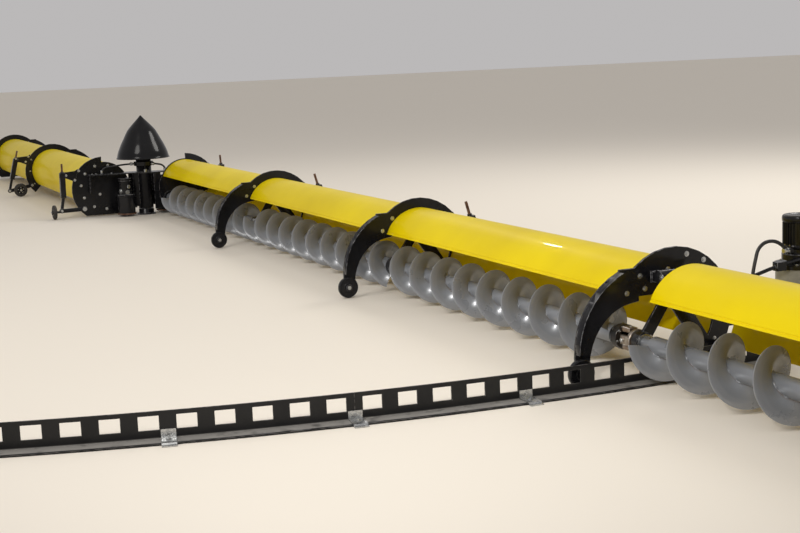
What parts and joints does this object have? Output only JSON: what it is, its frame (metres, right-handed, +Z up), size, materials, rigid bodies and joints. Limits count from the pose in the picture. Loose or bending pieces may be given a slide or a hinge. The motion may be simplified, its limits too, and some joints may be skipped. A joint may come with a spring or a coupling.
{
  "type": "bin sweep auger",
  "caption": "Round-bin sweep auger: hooded auger arms on hoops either side of a domed centre pivot, carried on rollers and driven along a slotted floor track.",
  "frame": {"origin": "the pivot axis at floor level, under the middle of the pivot base plate", "axes": "+X out along the long arm at rest, +Y behind that arm's hood, +Z up"},
  "size_m": [17.874, 4.8161, 1.022],
  "materials": {
    "yellow_enamel": "gloss",
    "black_enamel": "gloss",
    "auger_steel": "satin",
    "rusty_iron": "matt",
    "galvanised": "satin",
    "wheel_rubber": "matt",
    "conduit_black": "satin",
    "gear_grey": "satin"
  },
  "bodies": {
    "floor_parts": {"pivot_base": "black_enamel", "track_1": "black_enamel", "track_2": "black_enamel", "track_3": "black_enamel"},
    "sweep": {"hub_frame": "black_enamel", "dome": "black_enamel", "hub_conduits": "conduit_black", "gearbox_l": "black_enamel", "gearbox_r": "black_enamel", "knuckle_r3": "black_enamel", "end_plate_r0": "black_enamel", "hoop_r1": "black_enamel", "hoop_r2": "black_enamel", "hoop_r3": "black_enamel", "end_plate_r4": "black_enamel", "end_plate_l0": "black_enamel", "hoop_l1": "black_enamel", "end_plate_l2": "black_enamel", "hood_r1": "yellow_enamel", "hood_r2": "yellow_enamel", "hood_r3": "yellow_enamel", "hood_r4": "yellow_enamel", "hood_l1": "yellow_enamel", "hood_l2": "yellow_enamel", "jack_r0": "black_enamel", "jack_r1": "black_enamel", "jack_r2": "black_enamel", "jack_l0": "black_enamel", "jack_l1": "black_enamel", "jack_l2": "black_enamel", "drive_support": "black_enamel", "drive_gear_unit": "gear_grey", "drive_motor": "black_enamel", "drive_conduit": "conduit_black"},
    "auger_right": {"tube_r_inner": "auger_steel", "tube_r_outer": "auger_steel", "universal_joint": "rusty_iron", "flight_r1": "auger_steel", "flight_r2": "auger_steel", "flight_r3": "auger_steel", "flight_r4": "auger_steel"},
    "auger_left": {"tube_l": "auger_steel", "flight_l1": "auger_steel", "flight_l2": "auger_steel"},
    "roller_r1": {"roller_r1": "black_enamel"},
    "roller_r2": {"roller_r2": "black_enamel"},
    "roller_r3": {"roller_r3": "black_enamel"},
    "roller_r4": {"roller_r4": "black_enamel"},
    "roller_l1": {"roller_l1": "black_enamel"},
    "roller_l2": {"roller_l2": "black_enamel"},
    "wheel_r0": {"wheel_r0": "wheel_rubber"},
    "wheel_r1": {"wheel_r1": "wheel_rubber"},
    "wheel_r2": {"wheel_r2": "wheel_rubber"},
    "wheel_l0": {"wheel_l0": "wheel_rubber"},
    "wheel_l1": {"wheel_l1": "wheel_rubber"},
    "wheel_l2": {"wheel_l2": "wheel_rubber"},
    "drive_sprocket": {"drive_sprocket": "galvanised"}
  },
  "joints": [
    {"name": "sweep_turn", "type": "hinge", "parent": "floor_parts", "child": "sweep", "pos_m": [0, 0, 0], "axis": [0, 0, 1], "continuous": true},
    {"name": "auger_right_spin", "type": "hinge", "parent": "sweep", "child": "auger_right", "pos_m": [0.145, 0.218, 0.172], "axis": [1, 0, 0], "continuous": true},
    {"name": "auger_left_spin", "type": "hinge", "parent": "sweep", "child": "auger_left", "pos_m": [-0.145, -0.218, 0.172], "axis": [-1, 0, 0], "continuous": true},
    {"name": "roller_r1_spin", "type": "hinge", "parent": "sweep", "child": "roller_r1", "pos_m": [3.085, -0.138, 0.07], "axis": [1, 0, 0], "continuous": true},
    {"name": "roller_r2_spin", "type": "hinge", "parent": "sweep", "child": "roller_r2", "pos_m": [5.998, -0.138, 0.07], "axis": [1, 0, 0], "continuous": true},
    {"name": "roller_r3_spin", "type": "hinge", "parent": "sweep", "child": "roller_r3", "pos_m": [8.911, -0.138, 0.07], "axis": [1, 0, 0], "continuous": true},
    {"name": "roller_r4_spin", "type": "hinge", "parent": "sweep", "child": "roller_r4", "pos_m": [11.824, -0.138, 0.07], "axis": [1, 0, 0], "continuous": true},
    {"name": "roller_l1_spin", "type": "hinge", "parent": "sweep", "child": "roller_l1", "pos_m": [-3.085, 0.138, 0.07], "axis": [-1, 0, 0], "continuous": true},
    {"name": "roller_l2_spin", "type": "hinge", "parent": "sweep", "child": "roller_l2", "pos_m": [-5.998, 0.138, 0.07], "axis": [-1, 0, 0], "continuous": true},
    {"name": "wheel_r0_spin", "type": "hinge", "parent": "sweep", "child": "wheel_r0", "pos_m": [0.1327, 0.921, 0.076], "axis": [0, 1, 0], "continuous": true},
    {"name": "wheel_r1_spin", "type": "hinge", "parent": "sweep", "child": "wheel_r1", "pos_m": [3.0127, 0.806, 0.083], "axis": [1, 0, 0], "continuous": true},
    {"name": "wheel_r2_spin", "type": "hinge", "parent": "sweep", "child": "wheel_r2", "pos_m": [5.9257, 0.806, 0.083], "axis": [1, 0, 0], "continuous": true},
    {"name": "wheel_l0_spin", "type": "hinge", "parent": "sweep", "child": "wheel_l0", "pos_m": [-0.1327, -0.921, 0.076], "axis": [0, -1, 0], "continuous": true},
    {"name": "wheel_l1_spin", "type": "hinge", "parent": "sweep", "child": "wheel_l1", "pos_m": [-3.0127, -0.806, 0.083], "axis": [-1, 0, 0], "continuous": true},
    {"name": "wheel_l2_spin", "type": "hinge", "parent": "sweep", "child": "wheel_l2", "pos_m": [-5.9257, -0.806, 0.083], "axis": [-1, 0, 0], "continuous": true},
    {"name": "sprocket_spin", "type": "hinge", "parent": "sweep", "child": "drive_sprocket", "pos_m": [8.75134, 1.255, 0.076], "axis": [0, 0, 1], "continuous": true}
  ],
  "couplings": [
    {"joint": "sprocket_spin", "follows": "sweep_turn", "ratio": -70}
  ]
}
